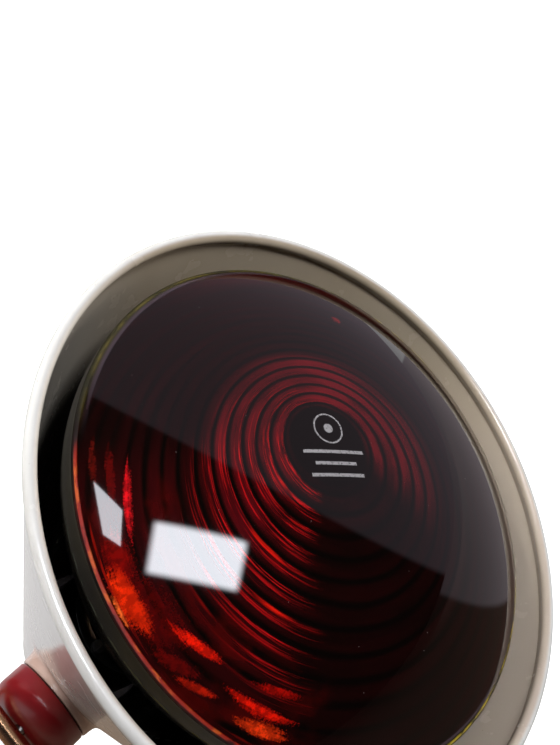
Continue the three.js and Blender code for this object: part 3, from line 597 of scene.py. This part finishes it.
for side, label in ((-1, "left"), (1, "right")):
    seat_rows = [
        (SCREW_HOLE_RADIUS, seat_plane(-0.02)), (11.4, seat_plane(-0.02)), (11.8, between(0.02, -0.02)),
        (12.05, between(0.09)), (12.15, between(0.25)), (12.25, between(0.5)), (12.4, between(0.72)),
        (12.65, between(0.87)), (13.1, between(0.96)), (13.8, between(0.995, 0.02)), (14.4, between(1.0, 0.01)),
    ]
    finish_piece(revolved_x(f"pressed_seat_{label}", seat_rows, side, 128, 60), "head", "cream_enamel")

    shoulder = SPACER_END_X - SPACER_DOME
    spacer_rows = [
        (SCREW_HOLE_RADIUS, seat_plane(GAP)), (11.5, seat_plane(GAP)), (11.75, seat_plane(GAP + 0.06)),
        (11.86, seat_plane(GAP + 0.2)), (SPACER_RADIUS, seat_plane(GAP + 0.45)),
        (SPACER_RADIUS, fixed(shoulder - 1)),
    ]
    dome = arc(SPACER_FLAT_RADIUS, shoulder, SPACER_RADIUS - SPACER_FLAT_RADIUS, SPACER_DOME, 0, 90, 18)
    spacer_rows += [(r, fixed(x)) for r, x in dome]
    spacer_rows += [(r, fixed(SPACER_END_X + 0.03)) for r in (2.4, SCREW_HOLE_RADIUS)]
    finish_piece(revolved_x(f"pivot_spacer_body_{label}", spacer_rows, side), "head", "burgundy_bakelite",
                 f"pivot_spacer_{label}")


# ---------------------------------------------------------------- bulb
def lens_profile():
    """Spherical dome that turns over in a small radius at the fused edge."""
    seat = BULB_RING_Z + GAP
    rise = LENS_RISE - LENS_SHOULDER
    flat_edge = BULB_RADIUS - LENS_EDGE_INSET
    sphere = (flat_edge ** 2 + rise ** 2) / (2 * rise)
    half = math.asin((BULB_RADIUS - LENS_FILLET) / (sphere - LENS_FILLET))
    steps = 44
    dome = []
    for i in range(steps + 1):
        a = half * (1 - i / steps)
        dome.append((sphere * math.sin(a), seat + LENS_RISE - sphere * (1 - math.cos(a))))
    centre_z = dome[0][1] - LENS_FILLET * math.cos(half)
    fillet = arc(BULB_RADIUS - LENS_FILLET, centre_z, LENS_FILLET, LENS_FILLET, 0, 90 - math.degrees(half), 8)
    return [(BULB_RADIUS - 1.8, seat), (BULB_RADIUS, seat), *fillet[:-1], *dome]


def bowl_profile():
    """Smooth curve through the bowl's stations, which are (radius, depth below the widest ring)."""
    stations = [(BULB_RADIUS, 0), (BULB_RADIUS - 1.2, 8), (53, 22), (40.3, 45.3), (26.5, 65.8), (17.5, 79.2),
                (13, 87.3), (BULB_NECK_RADIUS, BULB_RING_Z - BULB_NECK_END_Z)]
    padded = [stations[0], *stations, stations[-1]]
    points = []
    for i in range(1, len(padded) - 2):
        for k in range(10):
            t = k / 10
            weights = (-0.5 * t ** 3 + t ** 2 - 0.5 * t, 1.5 * t ** 3 - 2.5 * t ** 2 + 1,
                       -1.5 * t ** 3 + 2 * t ** 2 + 0.5 * t, 0.5 * t ** 3 - 0.5 * t ** 2)
            r, d = (sum(w * padded[i - 1 + n][axis] for n, w in enumerate(weights)) for axis in (0, 1))
            points.append((r, BULB_RING_Z - d))
    points.append((BULB_NECK_RADIUS, BULB_NECK_END_Z))
    return [(BULB_RADIUS - 1.6, BULB_RING_Z), (BULB_RADIUS - 0.3, BULB_RING_Z), *points]


finish_piece(turned("bulb_lens_glass", lens_profile(), BULB, 224, False, 50), "head", "ruby_glass", "bulb_lens")
finish_piece(turned("bulb_bowl_glass", bowl_profile(), BULB, 160, False, 50), "head", "silvered_glass", "bulb_bowl")


# ---------------------------------------------------------------- stand rod
def rounded_path(corners, bend, steps=14):
    """Polyline through the corners with circular bends."""
    points = [corners[0]]
    for before, corner, after in zip(corners, corners[1:], corners[2:]):
        a = (corner - before).normalized()
        b = (after - corner).normalized()
        turn = a.angle(b)
        axis = a.cross(b).normalized()
        start = corner - a * bend * math.tan(turn / 2)
        centre = start + axis.cross(a) * bend
        for i in range(steps + 1):
            arm = Matrix.Rotation(turn * i / steps, 3, axis) @ (start - centre)
            points.append(centre + arm)
    return [*points, corners[-1]]


def swept(name, path, radius, sides, body, slot, *nodes):
    """Round bar along a path of points in millimetres."""
    verts = []
    side_way = None
    for i, p in enumerate(path):
        ahead = path[min(i + 1, len(path) - 1)] - path[max(i - 1, 0)]
        ahead.normalize()
        start = side_way or ahead.orthogonal()
        side_way = (start - ahead * start.dot(ahead)).normalized()
        up = ahead.cross(side_way)
        for k in range(sides):
            a = 2 * math.pi * k / sides
            verts.append(p + side_way * radius * math.cos(a) + up * radius * math.sin(a))
    faces = ring_grid(path, sides, False)
    faces.append(list(reversed(range(sides))))
    faces.append([len(verts) - sides + k for k in range(sides)])
    finish_piece(mesh_object(name, verts, faces, Matrix.Identity(4), 50), body, slot, *nodes)


pivot_y, pivot_z = PIVOT.y / MM, PIVOT.z / MM
top = Vector((0, pivot_y + LEG_PAST_PIVOT * math.cos(FRONT_LEG_SLOPE),
              pivot_z + LEG_PAST_PIVOT * math.sin(FRONT_LEG_SLOPE)))
front = Vector((0, pivot_y - (pivot_z - ROD_Z) / math.tan(FRONT_LEG_SLOPE), ROD_Z))
rear = Vector((0, pivot_y + REAR_BAR_Y, ROD_Z))
right = Vector((ROD_X, 0, 0))
middle = Vector((GAP / 2, 0, 0))
rod_corners = [rear + middle, rear + right, top + right, front + right, front - right, top - right, rear - right,
               rear - middle]
swept("stand_rod_bar", rounded_path(rod_corners, ROD_BEND), ROD_RADIUS - 0.01, 40, "stand", "brass", "stand_rod")


# ---------------------------------------------------------------- the other CAD pieces, refined
REFINED_EDGE_ANGLE = math.radians(38)
REFINED_EDGE_WIDTH = 0.00018


def refined(node, body, slot):
    """A copy of a CAD node with smooth shading, softened edges and its finish."""
    mesh = frame["nodes"][node].data.copy()
    obj = linked(f"{node}_piece", mesh)
    weld = obj.modifiers.new("weld", "WELD")
    weld.merge_threshold = 0.00001
    bevel = obj.modifiers.new("bevel", "BEVEL")
    bevel.width = REFINED_EDGE_WIDTH
    bevel.segments = 2
    bevel.limit_method = "ANGLE"
    bevel.angle_limit = REFINED_EDGE_ANGLE
    mesh.materials.clear()
    mesh.shade_smooth()
    mesh.set_sharp_from_angle(angle=REFINED_EDGE_ANGLE)
    finish_piece(obj, body, slot, node)


done = {"shade", "bulb_lens", "bulb_bowl", "pivot_spacer_left", "pivot_spacer_right", "stand_rod"}
slots = {part["node"]: part["material_slot"] for part in frame["record"]["subparts"]}
for body, members in frame["record"]["behaviour"]["bodies"].items():
    for node in members:
        if node not in done:
            refined(node, body, slots[node])


# ---------------------------------------------------------------- studio
# The bright side of the studio is a round patch of directions about this one, out to this cosine.
BRIGHT_WAY = (0.892, 0.113, 0.438)
BRIGHT_COSINE = 0.5376
BRIGHT_LEVEL = 0.28
BRIGHT_TINT = (1.0, 0.86, 1.0, 1)
FAINT_WAY = (-0.85, 0.52, 0.0)
FAINT_LEVEL = 0.08
LENS_MIDDLE = (0.02, -0.072, 0.13)
BACK_OF_TABLE_Y = 0.104
TABLE_UNDER_LAMP = (0.2, 0.14, 0.1, 1)
TABLE_IN_FRONT = (0.022, 0.012, 0.008, 1)
TABLE_BRIGHT_SIDE = (0.28, 0.25, 0.28, 1)
TABLE_BEHIND = (0.62, 0.62, 0.64, 1)
TABLE_SEEN = (0.9, 0.9, 0.9, 1)
TABLE_HALF = 3
LAMP_DISTANCE = 1.5
CAMERA_FROM_PIVOT = Vector((-0.1583, -0.1466, 0.2101))
CAMERA_TILT = math.radians(57.62)
CAMERA_TURN = math.radians(-56.0)
CAMERA_LENS_MM = 49.97
CAMERA_SENSOR_MM = 36


def floor():
    """White table. What it returns to the object is warm and dim under the lamp, nearly nothing further out, and bright
    behind the lamp and on the bright side."""
    mesh = bpy.data.meshes.new("floor")
    corners = [(-1, -1), (1, -1), (1, 1), (-1, 1)]
    mesh.from_pydata([(a * TABLE_HALF, b * TABLE_HALF, 0) for a, b in corners], [], [[0, 1, 2, 3]])
    obj = linked("floor", mesh)
    s = Surface("floor")
    x, y, _ = s.axes()
    away = s.node("ShaderNodeVectorMath", "Vector", {"operation": "SUBTRACT"})
    s.put(away.node.inputs[0], s.coords)
    s.put(away.node.inputs[1], LENS_MIDDLE)
    unit = s.node("ShaderNodeVectorMath", "Vector", {"operation": "NORMALIZE"}, Vector=away)
    aim = s.node("ShaderNodeVectorMath", "Value", {"operation": "DOT_PRODUCT"})
    s.put(aim.node.inputs[0], unit)
    s.put(aim.node.inputs[1], BRIGHT_WAY)
    bright = s.step(aim, BRIGHT_COSINE - 0.075, BRIGHT_COSINE - 0.05)
    back = s.step(y, BACK_OF_TABLE_Y - 0.006, BACK_OF_TABLE_Y + 0.006)
    reach = s.math("SQRT", s.total(s.product(x, x), s.product(y, y)))
    dim = s.mix(s.step(reach, 0.17, 0.24), TABLE_UNDER_LAMP, TABLE_IN_FRONT)
    returned = s.mix(back, s.mix(bright, dim, TABLE_BRIGHT_SIDE), TABLE_BEHIND)
    seen = s.tree.nodes.new("ShaderNodeLightPath").outputs["Is Camera Ray"]
    s.set(Base_Color=s.mix(seen, (0.04, 0.03, 0.02, 1), (0.5, 0.5, 0.5, 1)), Roughness=0.9)
    s.set(Emission_Color=s.mix(seen, returned, TABLE_SEEN), Emission_Strength=1.0)
    mesh.materials.append(s.material)


def light_card(name, corners, strength, soft):
    """A glowing four-cornered card that fades towards its edges."""
    steps = 12
    a, b, c, d = (Vector(corner) for corner in corners)
    verts = []
    for j in range(steps + 1):
        for i in range(steps + 1):
            u, v = i / steps, j / steps
            verts.append(a.lerp(b, u).lerp(d.lerp(c, u), v))
    faces = []
    for j in range(steps):
        for i in range(steps):
            k = j * (steps + 1) + i
            faces.append([k, k + 1, k + steps + 2, k + steps + 1])
    mesh = bpy.data.meshes.new(name)
    mesh.from_pydata(verts, [], faces)
    place = mesh.attributes.new("place", "FLOAT_VECTOR", "POINT")
    for k, item in enumerate(place.data):
        item.vector = (2 * (k % (steps + 1)) / steps - 1, 2 * (k // (steps + 1)) / steps - 1, 0)
    obj = linked(name, mesh)
    s = Surface(name)
    along, across, _ = s.axes(s.node("ShaderNodeAttribute", "Vector", {"attribute_name": "place"}))
    edge = [s.step(s.math("ABSOLUTE", value), 1.0, 1.0 - width) for value, width in zip((along, across), soft)]
    s.set(Base_Color=(0, 0, 0, 1), Roughness=1.0, Specular_IOR_Level=0.0)
    s.set(Emission_Color=(0.9, 0.93, 1, 1), Emission_Strength=s.product(*edge, strength))
    mesh.materials.append(s.material)


def studio_world():
    """A bright patch on one side, a faint glow on the other, dark elsewhere, and a white background for the picture."""
    world = bpy.data.worlds.new("studio")
    bpy.context.scene.world = world
    world.use_nodes = True
    tree = world.node_tree
    tree.nodes.clear()

    def node(kind, **settings):
        made = tree.nodes.new(kind)
        for key, value in settings.items():
            setattr(made, key, value)
        return made

    coords = node("ShaderNodeTexCoord")

    def side(way, low, high, level):
        """Light from one side of the room, rising from 0 at low to level at high along the way it lies."""
        dot = node("ShaderNodeVectorMath", operation="DOT_PRODUCT")
        dot.inputs[1].default_value = way
        tree.links.new(coords.outputs["Generated"], dot.inputs[0])
        ramp = node("ShaderNodeMapRange", interpolation_type="SMOOTHSTEP")
        for socket, value in zip(ramp.inputs[1:5], (low, high, 0.0, level)):
            socket.default_value = value
        tree.links.new(dot.outputs["Value"], ramp.inputs[0])
        return ramp.outputs[0]

    def larger(a, b):
        made = node("ShaderNodeMath", operation="MAXIMUM")
        tree.links.new(a, made.inputs[0])
        tree.links.new(b, made.inputs[1])
        return made.outputs[0]

    path = node("ShaderNodeLightPath")
    level = larger(side(BRIGHT_WAY, BRIGHT_COSINE - 0.012, BRIGHT_COSINE + 0.012, BRIGHT_LEVEL),
                   side(FAINT_WAY, 0.3, 0.9, FAINT_LEVEL))
    level = larger(level, path.outputs["Is Camera Ray"])
    background = node("ShaderNodeBackground")
    output = node("ShaderNodeOutputWorld")
    tint = node("ShaderNodeMix", data_type="RGBA")
    colours = [socket for socket in tint.inputs if socket.type == "RGBA"]
    colours[0].default_value = BRIGHT_TINT
    colours[1].default_value = (1, 1, 1, 1)
    tree.links.new(path.outputs["Is Camera Ray"], tint.inputs[0])
    tree.links.new([out for out in tint.outputs if out.type == "RGBA"][0], background.inputs["Color"])
    tree.links.new(level, background.inputs["Strength"])
    tree.links.new(background.outputs[0], output.inputs["Surface"])


def soft_lamp(name, way, size, energy):
    """A round area light aimed at the lamp, kept out of its reflections."""
    light = bpy.data.lights.new(name, "AREA")
    light.shape = "DISK"
    light.size = size
    light.energy = energy
    obj = linked(name, light)
    obj.location = PIVOT + Vector(way).normalized() * LAMP_DISTANCE
    obj.rotation_euler = Vector(way).to_track_quat("Z", "Y").to_euler()
    obj.visible_glossy = False


floor()
studio_world()
light_card("softbox", [(-0.285, -0.428, 1.276), (0.036, -0.838, 1.06), (-0.213, -0.956, 0.919),
                       (-0.54, -0.561, 1.123)], 22.0, (0.2, 0.3))
light_card("side_card", [(-0.315, -0.056, 1.346), (-0.352, -0.289, 1.302), (-0.504, -0.397, 1.216),
                         (-0.514, -0.282, 1.247)], 14.0, (0.06, 0.06))
soft_lamp("key_light", (-0.1, 0.6, 0.8), 1.0, 29.0)
soft_lamp("side_fill", (0.8, -0.55, 0.0), 1.2, 12.0)

camera_data = bpy.data.cameras.new("camera")
camera_data.lens = CAMERA_LENS_MM
camera_data.sensor_width = CAMERA_SENSOR_MM
camera = linked("camera", camera_data)
camera.location = PIVOT + CAMERA_FROM_PIVOT
camera.rotation_euler = (CAMERA_TILT, 0, CAMERA_TURN)
bpy.context.scene.camera = camera
bpy.context.scene.view_settings.view_transform = "Standard"
